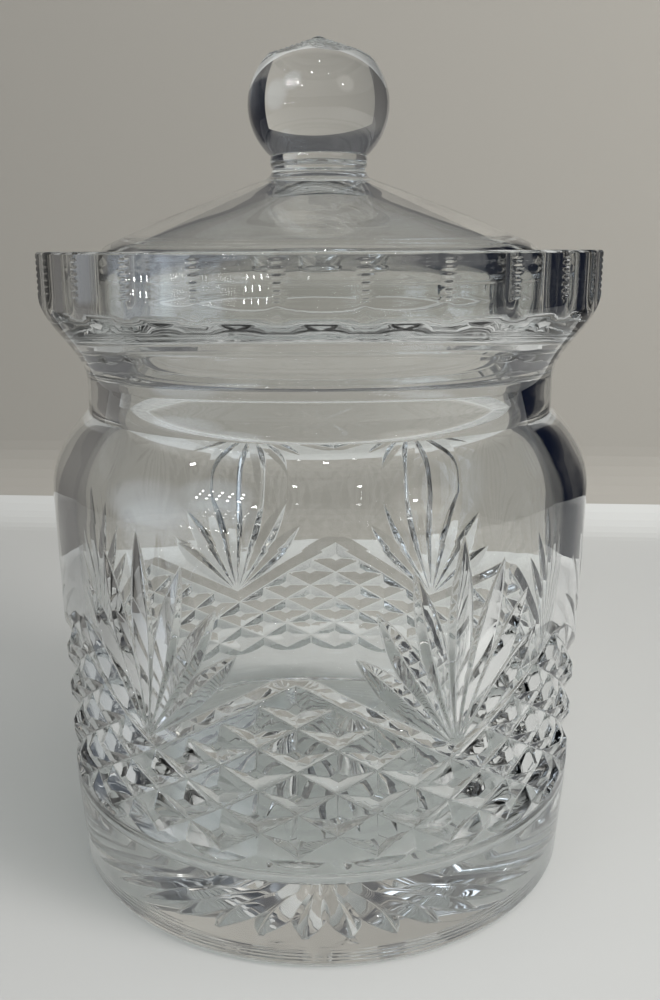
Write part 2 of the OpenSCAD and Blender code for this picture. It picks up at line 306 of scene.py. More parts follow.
def slope_normals(surface, u, v, step=1e-3):
    """Unit normals of a surface given as a function of two parameters, from small steps each way."""
    du = surface(u + step, v) - surface(u - step, v)
    dv = surface(u, v + step) - surface(u, v - step)
    n = np.cross(du, dv)
    return n / np.linalg.norm(n, axis=-1, keepdims=True)


def cut_wall():
    """The half repeat rolled onto the barrel twelve times, every other one mirrored."""
    spots, tris = half_repeat()
    points, normals, faces, at = [], [], [], 0
    for repeat in range(6):
        for mirror in (1, -1):

            def rolled(x, z):
                angle = -90 + 60 * repeat + mirror * x / WALL_SCALE
                return turned(body_radius(z) - cut_depth(x, z), angle, z)

            points.append(rolled(spots[:, 0], spots[:, 1]))
            normals.append(slope_normals(rolled, spots[:, 0], spots[:, 1]) * mirror)
            faces.append((tris if mirror > 0 else tris[:, ::-1]) + at)
            at += len(spots)
    return np.concatenate(points), np.concatenate(normals), np.concatenate(faces)


def grid_faces(rows, columns):
    """Triangles between the rows of a grid whose columns run round, seen from the outer side when
    the rows climb and the columns turn anticlockwise."""
    i, j = np.meshgrid(np.arange(rows - 1), np.arange(columns), indexing="ij")
    a = i * columns + j
    b = i * columns + (j + 1) % columns
    c, d = a + columns, b + columns
    quads = np.stack([a, b, d, c], -1).reshape(-1, 4)
    return np.concatenate([quads[:, [0, 1, 2]], quads[:, [0, 2, 3]]])


def profile(corners, steps=5):
    """A profile through corner points (radius, height, rounding): straight between corners, with an
    arc of that rounding at each. Returns points and unit normals to the right of the way along it."""
    corners = np.asarray(corners, float)
    points, ways = [corners[0, :2]], [corners[1, :2] - corners[0, :2]]
    for before, here, after in zip(corners[:-2], corners[1:-1], corners[2:]):
        a = (here - before)[:2] / np.hypot(*(here - before)[:2])
        b = (after - here)[:2] / np.hypot(*(after - here)[:2])
        turn = np.arctan2(a[0] * b[1] - a[1] * b[0], a @ b)
        reach = here[2] * np.tan(abs(turn) / 2)
        centre = here[:2] - a * reach + np.array([-a[1], a[0]]) * here[2] * np.sign(turn)
        for share in np.linspace(0, 1, steps):
            c, s = np.cos(turn * share), np.sin(turn * share)
            way = np.array([c * a[0] - s * a[1], s * a[0] + c * a[1]])
            points.append(centre + np.array([way[1], -way[0]]) * here[2] * np.sign(turn))
            ways.append(way)
    points.append(corners[-1, :2])
    ways.append(corners[-1, :2] - corners[-2, :2])
    return np.array(points), right_of(np.array(ways))


def right_of(ways):
    """Unit vectors to the right of each way."""
    ways = ways / np.linalg.norm(ways, axis=1, keepdims=True)
    return np.stack([ways[:, 1], -ways[:, 0]], 1)


def curve(radius, z):
    """A smooth stretch of profile through these points, with normals to the right of its way."""
    points = np.stack([radius, z], 1)
    return points, right_of(np.gradient(points, axis=0, edge_order=2))


def joined(*stretches):
    """Stretches of profile put end to end; the second of two equal points is left out."""
    points = np.concatenate([s[0] for s in stretches])
    normals = np.concatenate([s[1] for s in stretches])
    keep = np.append(True, np.hypot(*np.diff(points, axis=0).T) > 1e-6)
    return points[keep], normals[keep]


def lathe(stretch, angles):
    """A profile turned round the axis, with one column of points at each angle."""
    points, normals = stretch
    rows, columns = len(points), len(angles)
    a = np.broadcast_to(np.asarray(angles), (rows, columns))
    where = turned(points[:, :1], a, points[:, 1:])
    facing = turned(normals[:, :1], a, normals[:, 1:])
    return where.reshape(-1, 3), facing.reshape(-1, 3), grid_faces(rows, columns)


def capped(patch, columns, tip, facing, last=True):
    """Closes the last or first row of a turned patch with a fan of triangles to a point on the axis."""
    points, normals, faces = patch
    j = np.arange(columns)
    rim = (len(points) - columns if last else 0) + j
    rim_next = (len(points) - columns if last else 0) + (j + 1) % columns
    tip_at = np.full(columns, len(points))
    fan = np.stack([rim, rim_next, tip_at] if last else [rim_next, rim, tip_at], 1)
    return np.vstack([points, tip]), np.vstack([normals, facing]), np.vstack([faces, fan])


WELD = 2e-3


def glass_solid(name, patches):
    """One closed mesh of several patches, welded where they meet, with the patches' own normals.
    Points that round to the same place on a fine lattice are one; millimetres become metres."""
    points = np.concatenate([p[0] for p in patches])
    normals = np.concatenate([p[1] for p in patches])
    starts = np.cumsum([0] + [len(p[0]) for p in patches])
    faces = np.concatenate([p[2] + s for p, s in zip(patches, starts)])
    key = np.round(points / WELD + 0.37).astype(np.int64)
    _, first, back = np.unique(key, axis=0, return_index=True, return_inverse=True)
    corners = normals[faces]
    faces = back.reshape(-1)[faces]
    good = (faces[:, 0] != faces[:, 1]) & (faces[:, 1] != faces[:, 2]) & (faces[:, 2] != faces[:, 0])
    faces, corners = faces[good], corners[good]
    mesh = bpy.data.meshes.new(name)
    mesh.vertices.add(len(first))
    mesh.vertices.foreach_set("co", (points[first] / 1000).astype(np.float32).ravel())
    mesh.loops.add(faces.size)
    mesh.loops.foreach_set("vertex_index", faces.ravel().astype(np.int32))
    mesh.polygons.add(len(faces))
    mesh.polygons.foreach_set("loop_start", np.arange(0, faces.size, 3, dtype=np.int32))
    mesh.update(calc_edges=True)
    mesh.validate()
    mesh.normals_split_custom_set(corners.reshape(-1, 3).tolist())
    piece = bpy.data.objects.new(name, mesh)
    bpy.context.scene.collection.objects.link(piece)
    return piece


def zipped(low_ring, high_ring, facing_low, facing_high):
    """A strip of triangles between two rings of points whose columns need not match: whichever ring
    has the nearer next column goes on, till both have come round."""
    rings = [np.asarray(low_ring), np.asarray(high_ring)]
    angles = [np.unwrap(np.arctan2(r[:, 1], r[:, 0])) for r in rings]
    shift = int(np.abs(np.angle(np.exp(1j * (angles[1] - angles[0][0])))).argmin())
    rings[1] = np.roll(rings[1], -shift, axis=0)
    facing_high = np.roll(facing_high, -shift, axis=0)
    angles[1] = np.unwrap(np.arctan2(rings[1][:, 1], rings[1][:, 0]))
    angles[1] += 2 * np.pi * np.round((angles[0][0] - angles[1][0]) / (2 * np.pi))
    n, m = len(rings[0]), len(rings[1])
    i = j = 0
    faces = []
    while i < n or j < m:
        next_low = angles[0][(i + 1) % n] + 2 * np.pi * ((i + 1) // n)
        next_high = angles[1][(j + 1) % m] + 2 * np.pi * ((j + 1) // m)
        if j >= m or (i < n and next_low <= next_high):
            faces.append([i % n, (i + 1) % n, n + j % m])
            i += 1
        else:
            faces.append([i % n, n + (j + 1) % m, n + j % m])
            j += 1
    return np.vstack(rings), np.vstack([facing_low, facing_high]), np.array(faces)


EVEN = -90 + np.arange(AROUND) * 360 / AROUND
FOOT_EDGE, BAND_EDGE = 2.0, 40.0
foot_stretch = profile(
    [
        (FOOT_R - FOOT_EDGE, 0, 0),
        (FOOT_R, 0, FOOT_EDGE),
        (BAND_R, FOOT_H, BAND_EDGE),
        (body_radius(PATCH_LOW), PATCH_LOW, 0),
    ]
)
shoulder_a = np.linspace(np.arcsin((PATCH_HIGH - BELLY_Z) / SHOULDER_TALL), SHOULDER_TURN, 10)
shoulder_stretch = curve(
    BELLY_R - SHOULDER_WIDE * (1 - np.cos(shoulder_a)),
    BELLY_Z + SHOULDER_TALL * np.sin(shoulder_a),
)
foot_patch, shoulder_patch = lathe(foot_stretch, EVEN), lathe(shoulder_stretch, EVEN)
jar_patches = [cut_wall(), foot_patch, shoulder_patch]


# ---------------------------------------------------------------- jar neck and scalloped gallery
# Above the crease the same glass runs up a straight neck and flares into the gallery. Shallow
# upright flutes are ground into the gallery, and short notches are cut across the ridges left.
RIM_R, RIM_Z = 69.4, 158.0
FLARE_Z, GALLERY_Z = 127.5, 148.5
FLUTES, FLUTE_DEPTH, FLUTE_TURN = 26, 1.3, -2.2
NOTCHES, NOTCH_TOP, NOTCH_PITCH, NOTCH_DEPTH, NOTCH_HALF = 6, 156.2, 1.45, 0.45, 0.6
RIM_EDGE = 0.8
NECK_FOOT_Z = CREASE_Z + 1.5
PITCH = 360 / FLUTES
GALLERY_AROUND = FLUTES * 12
flute_half = PITCH / 2 * 0.96
flute_chord = RIM_R * np.sin(np.radians(flute_half))
flute_sag = FLUTE_DEPTH - RIM_R * (1 - np.cos(np.radians(flute_half)))
flute_r = (flute_chord**2 + flute_sag**2) / (2 * flute_sag)


def flare_radius(z):
    """Straight up the neck, then half a cosine wave out to the gallery's upright wall."""
    share = np.clip((z - FLARE_Z) / (GALLERY_Z - FLARE_Z), 0, 1)
    return NECK_R + (RIM_R - NECK_R) * (1 - np.cos(np.pi * share)) / 2


def flute_radius(psi):
    """Distance of a flute's hollow from the axis, at an angle off the ridge between two flutes."""
    off = np.radians(PITCH / 2 - np.abs((psi + PITCH / 2) % PITCH - PITCH / 2))
    centre = RIM_R - FLUTE_DEPTH + flute_r
    return centre * np.cos(off) - np.sqrt(flute_r**2 - (centre * np.sin(off)) ** 2)


def notch_radius(psi, z):
    """Distance of the floor and sides of the V notches from the axis; they run level, so that only
    the ridges are high enough to be cut."""
    nearest = NOTCH_TOP - NOTCH_PITCH * np.clip(np.round((NOTCH_TOP - z) / NOTCH_PITCH), 0, NOTCHES - 1)
    off = np.radians((psi + PITCH / 2) % PITCH - PITCH / 2)
    return RIM_R - NOTCH_DEPTH * (1 - np.abs(z - nearest) / NOTCH_HALF) + RIM_R * (1 / np.cos(off) - 1)


def gallery_radius(psi, z):
    """The least of the flared wall, the flute's hollow and the notches, with soft edges between."""
    hollow = -smooth_max(-flute_radius(psi), np.full_like(psi, -RIM_R), 0.1)
    wall = -smooth_max(-flare_radius(z), -hollow, 0.5)
    return -smooth_max(-wall, -notch_radius(psi, z), 0.05)


def gallery_patch():
    """A grid whose columns crowd at the ridges and whose rows crowd at the flutes' lower edges."""
    inside = np.array([0, 0.35, 0.8, 1.6, 3.0, 4.9, PITCH / 2])
    sector = np.concatenate([inside, PITCH - inside[-2:0:-1]])
    psi = (np.arange(FLUTES)[:, None] * PITCH + sector).ravel()
    even = np.arange(GALLERY_AROUND) * 360 / GALLERY_AROUND
    hollow = np.minimum(flute_radius(psi), RIM_R - 0.02)
    share = np.arccos(1 - 2 * (hollow - NECK_R) / (RIM_R - NECK_R)) / np.pi
    edge = FLARE_Z + (GALLERY_Z - FLARE_Z) * share
    below = FLARE_Z + (edge - 0.5 - FLARE_Z) * np.linspace(0, 1, 10)[:, None]
    strip = edge + np.array([-0.2, 0, 0.2])[:, None]
    notch_z = NOTCH_TOP - NOTCH_PITCH * np.arange(NOTCHES)[::-1, None]
    notch_z = notch_z + np.array([-0.65, -0.3, 0, 0.3, 0.65])
    above = np.concatenate([notch_z.ravel(), [RIM_Z - RIM_EDGE]])[:, None] + 0 * psi
    above = np.maximum(above, edge + 0.4 + np.linspace(0, 0.3, len(above))[:, None])
    neck = np.linspace(NECK_FOOT_Z, FLARE_Z, 4)[:-1, None] + 0 * psi
    z = np.concatenate([neck, below, strip, above])
    mix = np.clip((z - NECK_FOOT_Z) / (FLARE_Z - NECK_FOOT_Z), 0, 1)
    turn = -90 + even + mix * (FLUTE_TURN + psi - even)

    def wall(u, v):
        return turned(gallery_radius(u + 90 - FLUTE_TURN, v), u, v)

    points = wall(turn, z)
    normals = slope_normals(wall, turn, z)
    arc = np.radians(np.linspace(0, 90, 5))[1:, None]
    top_turn = turn[-1]
    r_top = gallery_radius(top_turn + 90 - FLUTE_TURN, z[-1])
    r_edge, z_edge = r_top - RIM_EDGE * (1 - np.cos(arc)), RIM_Z - RIM_EDGE + RIM_EDGE * np.sin(arc)
    edge_points = turned(r_edge, top_turn + 0 * arc, z_edge)
    side = normals[-1][None] * (1, 1, 0)
    edge_normals = side * np.cos(arc)[..., None] + np.array([0, 0, 1.0]) * np.sin(arc)[..., None]
    points = np.concatenate([points, edge_points])
    normals = np.concatenate([normals, edge_normals])
    faces = grid_faces(len(points), GALLERY_AROUND)
    return points.reshape(-1, 3), normals.reshape(-1, 3), faces


gallery = gallery_patch()
jar_patches.append(gallery)
neck_ring, neck_out = gallery[0][:GALLERY_AROUND], gallery[1][:GALLERY_AROUND]
crease_ring = shoulder_patch[0][-AROUND:]
crease_out = crease_ring * (1, 1, 0) / NECK_R
jar_patches.append(zipped(crease_ring, neck_ring, crease_out, neck_out))
rim_outer = gallery[0][-GALLERY_AROUND:]


# ---------------------------------------------------------------- jar inside
# The blower's mould leaves the inside smooth: the gallery drops to a flat ledge with a ground
# bevel, the shoulder swells to the wall, and a thick flat floor meets the wall in a round heel.
RIM_IN, LEDGE_Z, NECK_IN = 63.2, 144.5, 51.1
BELLY_IN, BAND_IN, FLOOR_Z, HEEL, LAG = 62.4, 60.5, 18.0, 7.0, 1.3
LEDGE_CORNER, LEDGE_EDGE, BEVEL_W, BEVEL_H = 1.2, 4.0, 2.4, 3.6
NECK_END_Z = CREASE_Z + 4
BEND_TURN, BEND_REACH = np.radians(22), 7.0


def bend(p0, way0, p3, way3, reach, n):
    """A cubic curve between two points that leaves and arrives along given ways; its two middle
    points lie this reach along them."""
    p0, p3 = np.asarray(p0), np.asarray(p3)
    p1, p2 = p0 + reach * np.asarray(way0), p3 - reach * np.asarray(way3)
    t = np.linspace(0, 1, n)[:, None]
    points = (1 - t) ** 3 * p0 + 3 * t * (1 - t) ** 2 * p1 + 3 * t * t * (1 - t) * p2 + t**3 * p3
    return curve(*points.T)


def inner_shoulder():
    """The inside of the shoulder: a cubic bend out of the neck, then the outer ellipse moved inwards
    along its normal by the thickness of the wall, and let down at its lower end by a small lag."""
    a = np.linspace(BEND_TURN, 0, 11)
    out = np.stack([np.cos(a) / SHOULDER_WIDE, np.sin(a) / SHOULDER_TALL])
    out /= np.hypot(*out)
    wall = BELLY_R - BELLY_IN + (NECK_R - NECK_IN - BELLY_R + BELLY_IN) * a / SHOULDER_TURN
    radius = BELLY_R - SHOULDER_WIDE * (1 - np.cos(a)) - wall * out[0]
    z = BELLY_Z + SHOULDER_TALL * np.sin(a) - wall * out[1] - LAG * (1 - a / SHOULDER_TURN)
    way = np.array([radius[1] - radius[0], z[1] - z[0]])
    way /= np.hypot(*way)
    upper = bend((NECK_IN, NECK_END_Z), (0, -1), (radius[0], z[0]), way, BEND_REACH, 13)
    return joined(upper, curve(radius, z))


inside = joined(
    profile(
        [
            (RIM_IN + RIM_EDGE + 1.5, RIM_Z, 0),
            (RIM_IN, RIM_Z, RIM_EDGE),
            (RIM_IN, LEDGE_Z, LEDGE_CORNER),
            (NECK_IN + BEVEL_W, LEDGE_Z, LEDGE_EDGE),
            (NECK_IN, LEDGE_Z - BEVEL_H, LEDGE_EDGE),
            (NECK_IN, NECK_END_Z, 0),
        ],
        6,
    ),
    inner_shoulder(),
    profile(
        [
            (BELLY_IN, BELLY_Z - LAG, 0),
            (BELLY_IN - 0.3, 70, 200),
            (BAND_IN, FLOOR_Z, HEEL),
            (20, FLOOR_Z, 0),
        ],
        7,
    ),
)
INNER_AROUND = 156
inner = lathe(inside, -90 + np.arange(INNER_AROUND) * 360 / INNER_AROUND)
up = np.tile([0, 0, 1.0], (GALLERY_AROUND, 1))
jar_patches.append(zipped(rim_outer, inner[0][:INNER_AROUND], up, up[:INNER_AROUND]))
jar_patches.append(capped(inner, INNER_AROUND, [0, 0, FLOOR_Z], [0, 0, 1.0]))


# ---------------------------------------------------------------- star cut under the foot
# Thirty V cuts run from near the middle of the underside towards the broad polished ring that the
# jar stands on. Each is deepest past its middle and runs out to a point at both ends.
STAR_RAYS, STAR_START, STAR_R, STAR_DEPTH, STAR_HALF = 30, 6.0, 46.0, 2.6, 3.4
STAR_WIDEST = STAR_START + (STAR_R - STAR_START) * 0.62
STAND_START, STAND_END, STAND_AROUND = 49.5, FOOT_R - 2.7, 144
WAVE_H, WAVE_PITCH = 0.025, 2.2


def star_share(rho):
    """How far a distance lies from the rays' widest line, as a share of the way to the nearer end."""
    inner = (STAR_WIDEST - rho) / (STAR_WIDEST - STAR_START)
    return np.where(rho < STAR_WIDEST, inner, (rho - STAR_WIDEST) / (STAR_R - STAR_WIDEST))


def star_height(angle, rho):
    """Height of the underside: a V across each ray, as deep as two parabolas along it allow."""
    off = np.radians((angle + 90 + 180 / STAR_RAYS) % (360 / STAR_RAYS) - 180 / STAR_RAYS) * rho
    run = 1 - np.minimum(star_share(rho), 1.5) ** 2
    vee = STAR_DEPTH * run - STAR_DEPTH / STAR_HALF * np.sqrt(off**2 + GROOVE_FLOOR)
    return smooth_max(vee, np.zeros_like(vee), 0.15)


def star_patch():
    """A polar grid whose columns follow each ray's floor line, flanks and edges."""
    rho = np.concatenate([[0.8, 3.5], np.linspace(STAR_START, STAR_R, 22), [48]])
    sector = 180 / STAR_RAYS
    width = np.clip(STAR_HALF * (1 - star_share(rho) ** 2), 0, None)
    half = np.clip(np.degrees(width / rho), 1.0, sector * 0.93)
    floor = np.minimum(np.degrees(0.2 / rho), half / 3)
    soft = np.minimum(np.degrees(0.25 / rho), 0.3)
    side = np.stack([floor, half / 2, half - soft, half, half + soft, np.full_like(rho, sector)], 1)
    around = np.concatenate([-side[:, -2::-1], 0 * side[:, :1], side], 1)
    angle = -90 + np.arange(STAR_RAYS)[None, :, None] * 360 / STAR_RAYS + around[:, None, :]
    angle = angle.reshape(len(rho), -1)
    columns = angle.shape[1]
    rows = np.broadcast_to(rho[:, None], angle.shape)

    def underside(u, v):
        return turned(v, u, star_height(u, v))

    points = underside(angle, rows)
    points[-1, :, 2] = 0
    normals = -slope_normals(underside, angle, rows)
    normals *= np.where(normals[..., 2:] > 0, -1, 1)
    faces = grid_faces(len(rho), columns)
    patch = (points.reshape(-1, 3), normals.reshape(-1, 3), faces)
    return capped(patch, columns, [0, 0, 0], [0, 0, -1.0], last=False), points[-1]


def standing_ring():
    """The flat ring round the star, with the faint waves that polishing leaves: whole cosine waves
    along the radius, whose height follows half a sine from one edge to the other."""
    radius = np.linspace(STAND_START, STAND_END, 30)
    off = radius - STAND_START
    wave = WAVE_H * (1 - np.cos(2 * np.pi * off / WAVE_PITCH))
    return lathe(curve(radius, wave * np.sin(np.pi * off / (STAND_END - STAND_START))), EVEN[::2])


(star, star_rim), stand = star_patch(), standing_ring()
jar_patches += [star, stand]
stand_inner, stand_outer = stand[0][:STAND_AROUND], stand[0][-STAND_AROUND:]
for low_ring, high_ring in ((star_rim, stand_inner), (stand_outer, foot_patch[0][:AROUND])):
    downs = [np.tile([0, 0, -1.0], (len(ring), 1)) for ring in (low_ring, high_ring)]
    jar_patches.append(zipped(low_ring, high_ring, *downs))
jar = glass_solid("jar_glass", jar_patches)
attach(jar, "jar")
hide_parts("jar_body", "jar_gallery")


# ---------------------------------------------------------------- lid with its stem, collar and ball
# The lid is a low blown dome with a straight side. A short stem, a ring and a solid ball were put
# on while the glass was hot, so all four are one piece; the ball's top is cut to six flat planes,
# and short nicks are cut across the ridges between them.
LID_R, LID_EDGE, LID_EDGE_Z, LID_WALL = 55.0, 5.0, 155.2, 4.8
SLOPE_LOW, SLOPE_TOP, DOME_H = 25.0, 20.0, 15.3
STEM_R, STEM_FILLET, POCKET_R, POCKET_H = 11.5, 3.0, 12.0, 4.2
COLLAR_R, COLLAR_H, BALL_R, BALL_H = 12.0, 2.8, 17.3, 16.2
FACETS, FACET_SLOPE, FACET_TURN, PEAK_DROP = 6, 22.5, 23.0, 0.4
LID_FOOT_Z = LEDGE_Z + 0.12


def arc(centre, radius, a0, a1, n):
    """Part of a circle between two angles in degrees."""
    a = np.radians(np.linspace(a0, a1, n))
    return curve(centre[0] + radius * np.cos(a), centre[1] + radius * np.sin(a))


low, top = np.radians(SLOPE_LOW), np.radians(SLOPE_TOP)
way_low, way_top = (-np.cos(low), np.sin(low)), (-np.cos(top), np.sin(top))
dome_0 = (LID_R - LID_EDGE * (1 - np.sin(low)), LID_EDGE_Z + LID_EDGE * np.cos(low))
stem_foot = (STEM_R + STEM_FILLET * (1 - np.sin(top)), dome_0[1] + DOME_H)
stem_z = stem_foot[1] + STEM_FILLET * np.cos(top)
collar_z = stem_z + COLLAR_H
ball_low = np.arccos(COLLAR_R / BALL_R)
ball_z = collar_z + BALL_H * np.sin(ball_low)
CAP_POLAR = 74.0
BULGE_TURN, EDGE_IN, TIP_GAP = 1.5, 8.0, 0.05
cap_a = np.arctan2(BALL_R / np.tan(np.radians(CAP_POLAR)), BALL_H)
ball_a = np.linspace(0.008 - ball_low, cap_a, 34)
collar_a = np.linspace(-BULGE_TURN, BULGE_TURN, 14)
bulge = COLLAR_H / 2
outside = joined(
    profile([(LID_R - 1.0, LID_FOOT_Z, 0), (LID_R, LID_FOOT_Z, 0.4), (LID_R, LID_EDGE_Z, 0)]),
    arc((LID_R - LID_EDGE, LID_EDGE_Z), LID_EDGE, 0, 90 - SLOPE_LOW, 14),
    bend(dome_0, way_low, stem_foot, way_top, (dome_0[0] - stem_foot[0]) / 3, 40),
    arc((STEM_R + STEM_FILLET, stem_z), STEM_FILLET, 270 - SLOPE_TOP, 180, 12),
    curve(COLLAR_R - bulge / 4 * (1 - np.cos(collar_a)), stem_z + bulge + bulge * np.sin(collar_a)),
    curve(BALL_R * np.cos(ball_a), ball_z + BALL_H * np.sin(ball_a)),
)


def lid_angles():
    """Columns that crowd at the six ridges of the ball's cut top."""
    sector = np.concatenate([[0, 0.5, 1.2, 2.4], np.linspace(4, 56, 41), [57.6, 58.8, 59.5]])
    return (FACET_TURN - 90 - 30 + np.arange(FACETS)[:, None] * 60 + sector).ravel()


LID_ANGLES = lid_angles()
LID_AROUND = len(LID_ANGLES)
NICK_START, NICK_PITCH, NICK_COUNT = 2.2, 1.35, 8
NICKS = NICK_START + NICK_PITCH * np.arange(NICK_COUNT)
NICK_DEPTH, NICK_HALF, NICK_POLAR = 0.8, 0.66, 60
RIDGE_SLOPE = np.tan(np.radians(FACET_SLOPE)) * np.cos(np.radians(180 / FACETS))


def ball_reach(angle, polar):
    """Distance from the ball's middle to its skin: a slightly flattened ball, or a cut plane where
    that is nearer, or the floor or side of a nick where that is nearer still."""
    slope = np.radians(FACET_SLOPE)
    level = (BALL_H - PEAK_DROP) * np.cos(slope)
    turn = np.radians((angle + 90 - FACET_TURN + 30) % 60 - 30)
    p = np.radians(polar)
    best = -1 / np.hypot(np.sin(p) / BALL_R, np.cos(p) / BALL_H) + 0 * turn
    for step in (0, 60, -60):
        facing = np.cos(p) * np.cos(slope) + np.sin(p) * np.sin(slope) * np.cos(turn - np.radians(step))
        plane = level / np.maximum(facing, 0.2)
        best = smooth_max(best, -plane, 0.12)
    off = np.radians((angle + 90 - FACET_TURN) % 60 - 30)
    rise = np.cos(p) + RIDGE_SLOPE * np.sin(p) * np.cos(off)
    along = (BALL_H - PEAK_DROP) / rise * np.sin(p) * np.cos(off)
    near = NICKS[np.abs(along[..., None] - NICKS).argmin(-1)]
    nick = (BALL_H - PEAK_DROP - NICK_DEPTH * (1 - np.abs(along - near) / NICK_HALF)) / rise
    return -smooth_max(best, -np.where(polar < NICK_POLAR, nick, 99.0), 0.05)


def ball_cap():
    """The top of the ball, from the last full circle up to the peak where the planes meet."""
    slope = np.radians(FACET_SLOPE)
    turn = np.radians((LID_ANGLES + 90 - FACET_TURN + 30) % 60 - 30)
    p = np.radians(np.arange(20, 74, 0.05))[:, None]
    facing = np.cos(p) * np.cos(slope) + np.sin(p) * np.sin(slope) * np.cos(turn)
    plane = (BALL_H - PEAK_DROP) * np.cos(slope) / facing
    uncut = 1 / np.hypot(np.sin(p) / BALL_R, np.cos(p) / BALL_H)
    edge = 20 + 0.05 * np.abs(plane - uncut).argmin(0)
    above = edge + 1.3 + (CAP_POLAR - edge - 1.3) * np.linspace(1, 0, 7)[:, None]
    strip = edge + np.array([0.65, 0, -0.65, -1.3])[:, None]
    spots = (NICKS[::-1, None] + np.array([0.65, 0.33, 0, -0.33, -0.65])).ravel()
    rows = np.degrees(np.arctan2(spots, BALL_H - PEAK_DROP - RIDGE_SLOPE * spots))
    rows = np.concatenate([rows[rows < edge.max() - 2], [7, 4, 1]])[:, None]
    flat = (edge - 1.3) * rows / (edge.max() - 1.3)
    polar = np.concatenate([above, strip, flat])
    angle = np.broadcast_to(LID_ANGLES, polar.shape)

    def skin(u, v):
        reach, p = ball_reach(u, v), np.radians(v)
        return turned(reach * np.sin(p), u, ball_z + reach * np.cos(p))

    points, normals = skin(angle, polar), slope_normals(skin, angle, polar)
    normals *= np.sign((normals * (points - (0, 0, ball_z))).sum(-1, keepdims=True))
    patch = (points.reshape(-1, 3), normals.reshape(-1, 3), grid_faces(len(polar), LID_AROUND))
    peak = ball_z + ball_reach(np.array([0.0]), np.array([0.0]))[0]
    return capped(patch, LID_AROUND, [0, 0, peak], [0, 0, 1.0])


in_r = LID_R - LID_WALL
dome_in_r = in_r - EDGE_IN * (1 - np.sin(low))
dome_in = (dome_in_r, dome_0[1] - LID_WALL / np.cos(low) + (dome_0[0] - dome_in_r) * np.tan(low))
side_top = dome_in[1] - EDGE_IN * np.cos(low)
pocket = (POCKET_R, stem_foot[1] - LID_WALL / np.cos(top) + (stem_foot[0] - POCKET_R) * np.tan(top))
pocket_a = np.linspace(0, BULGE_TURN, 12)
pocket_z = pocket[1] + TIP_GAP
hollow = joined(
    profile([(LID_R - 1.0, LID_FOOT_Z, 0), (in_r, LID_FOOT_Z, 0.4), (in_r, side_top, 0)]),
    arc((in_r - EDGE_IN, side_top), EDGE_IN, 0, 90 - SLOPE_LOW, 12),
    bend(dome_in, way_low, pocket, way_top, (dome_in[0] - POCKET_R) / 3, 40),
    curve(POCKET_R - TIP_GAP - POCKET_R * (1 - np.cos(pocket_a)), pocket_z + POCKET_H * np.sin(pocket_a)),
)
hollow_points, hollow_normals, hollow_faces = lathe(hollow, LID_ANGLES)
hollow_patch = (hollow_points, -hollow_normals, hollow_faces)
hollow_patch = capped(hollow_patch, LID_AROUND, [0, 0, pocket_z + POCKET_H], [0, 0, -1.0])
hollow_patch = (hollow_patch[0], hollow_patch[1], hollow_patch[2][:, ::-1])
lid = glass_solid("lid_glass", [lathe(outside, LID_ANGLES), ball_cap(), hollow_patch])
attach(lid, "lid")
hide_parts("lid_cover", "lid_collar", "lid_knob")


# ---------------------------------------------------------------- glass
# Lead glass, clear with the faintest grey, acid polished after cutting, so that the surface is
# smooth but not quite even: a very slow ripple bends what shows through it. Light on its way to a
# shaded place goes through with a grey tint, so the jar's shadow is soft and pale.
GLASS_TINT, SHADOW_TINT, GLASS_INDEX = (0.96, 0.97, 0.965, 1), (0.72, 0.735, 0.73, 1), 1.54
RIPPLE_SCALE, RIPPLE_HEIGHT = 55.0, 0.00006


def lead_glass(name):
    """A refracting glass whose surface rises and falls by a slow noise."""
    material = bpy.data.materials.new(name)
    material.use_nodes = True
    nodes, links = material.node_tree.nodes, material.node_tree.links
    shader = nodes["Principled BSDF"]
    shader.inputs["Base Color"].default_value = GLASS_TINT
    shader.inputs["Roughness"].default_value = 0.0
    shader.inputs["IOR"].default_value = GLASS_INDEX
    shader.inputs["Transmission Weight"].default_value = 1.0
    place = nodes.new("ShaderNodeTexCoord")
    noise = nodes.new("ShaderNodeTexNoise")
    noise.inputs["Scale"].default_value = RIPPLE_SCALE
    noise.inputs["Detail"].default_value = 1.0
    bump = nodes.new("ShaderNodeBump")
    bump.inputs["Strength"].default_value = 1.0
    bump.inputs["Distance"].default_value = RIPPLE_HEIGHT
    links.new(place.outputs["Object"], noise.inputs["Vector"])
    links.new(noise.outputs["Fac"], bump.inputs["Height"])
    links.new(bump.outputs["Normal"], shader.inputs["Normal"])
    path = nodes.new("ShaderNodeLightPath")
    clear = nodes.new("ShaderNodeBsdfTransparent")
    clear.inputs["Color"].default_value = SHADOW_TINT
    mix = nodes.new("ShaderNodeMixShader")
    links.new(path.outputs["Is Shadow Ray"], mix.inputs["Fac"])
    links.new(shader.outputs["BSDF"], mix.inputs[1])
    links.new(clear.outputs["BSDF"], mix.inputs[2])
    links.new(mix.outputs["Shader"], nodes["Material Output"].inputs["Surface"])
    return material


jar.data.materials.append(lead_glass("cut_jar_glass"))
lid.data.materials.append(lead_glass("blown_lid_glass"))


# ---------------------------------------------------------------- floor and backdrop
# A pale counter and an upright pale wall behind it, joined by a small curve. The counter lies a
# hair below the jar's foot, so that the glass keeps air under it and reflects from its underside.
FLOOR_HALF, FLOOR_FRONT, FLOOR_DROP = 900, -900, 0.3
COVE_Y, COVE_R, WALL_X, WALL_TOP = 290, 45, (-310, 196), 330


def plain_surface(name, colour, roughness):
    """A matt surface of one pale colour."""
    material = bpy.data.materials.new(name)
    material.use_nodes = True
    shader = material.node_tree.nodes["Principled BSDF"]
    shader.inputs["Base Color"].default_value = (*colour, 1)
    shader.inputs["Roughness"].default_value = roughness
    return material


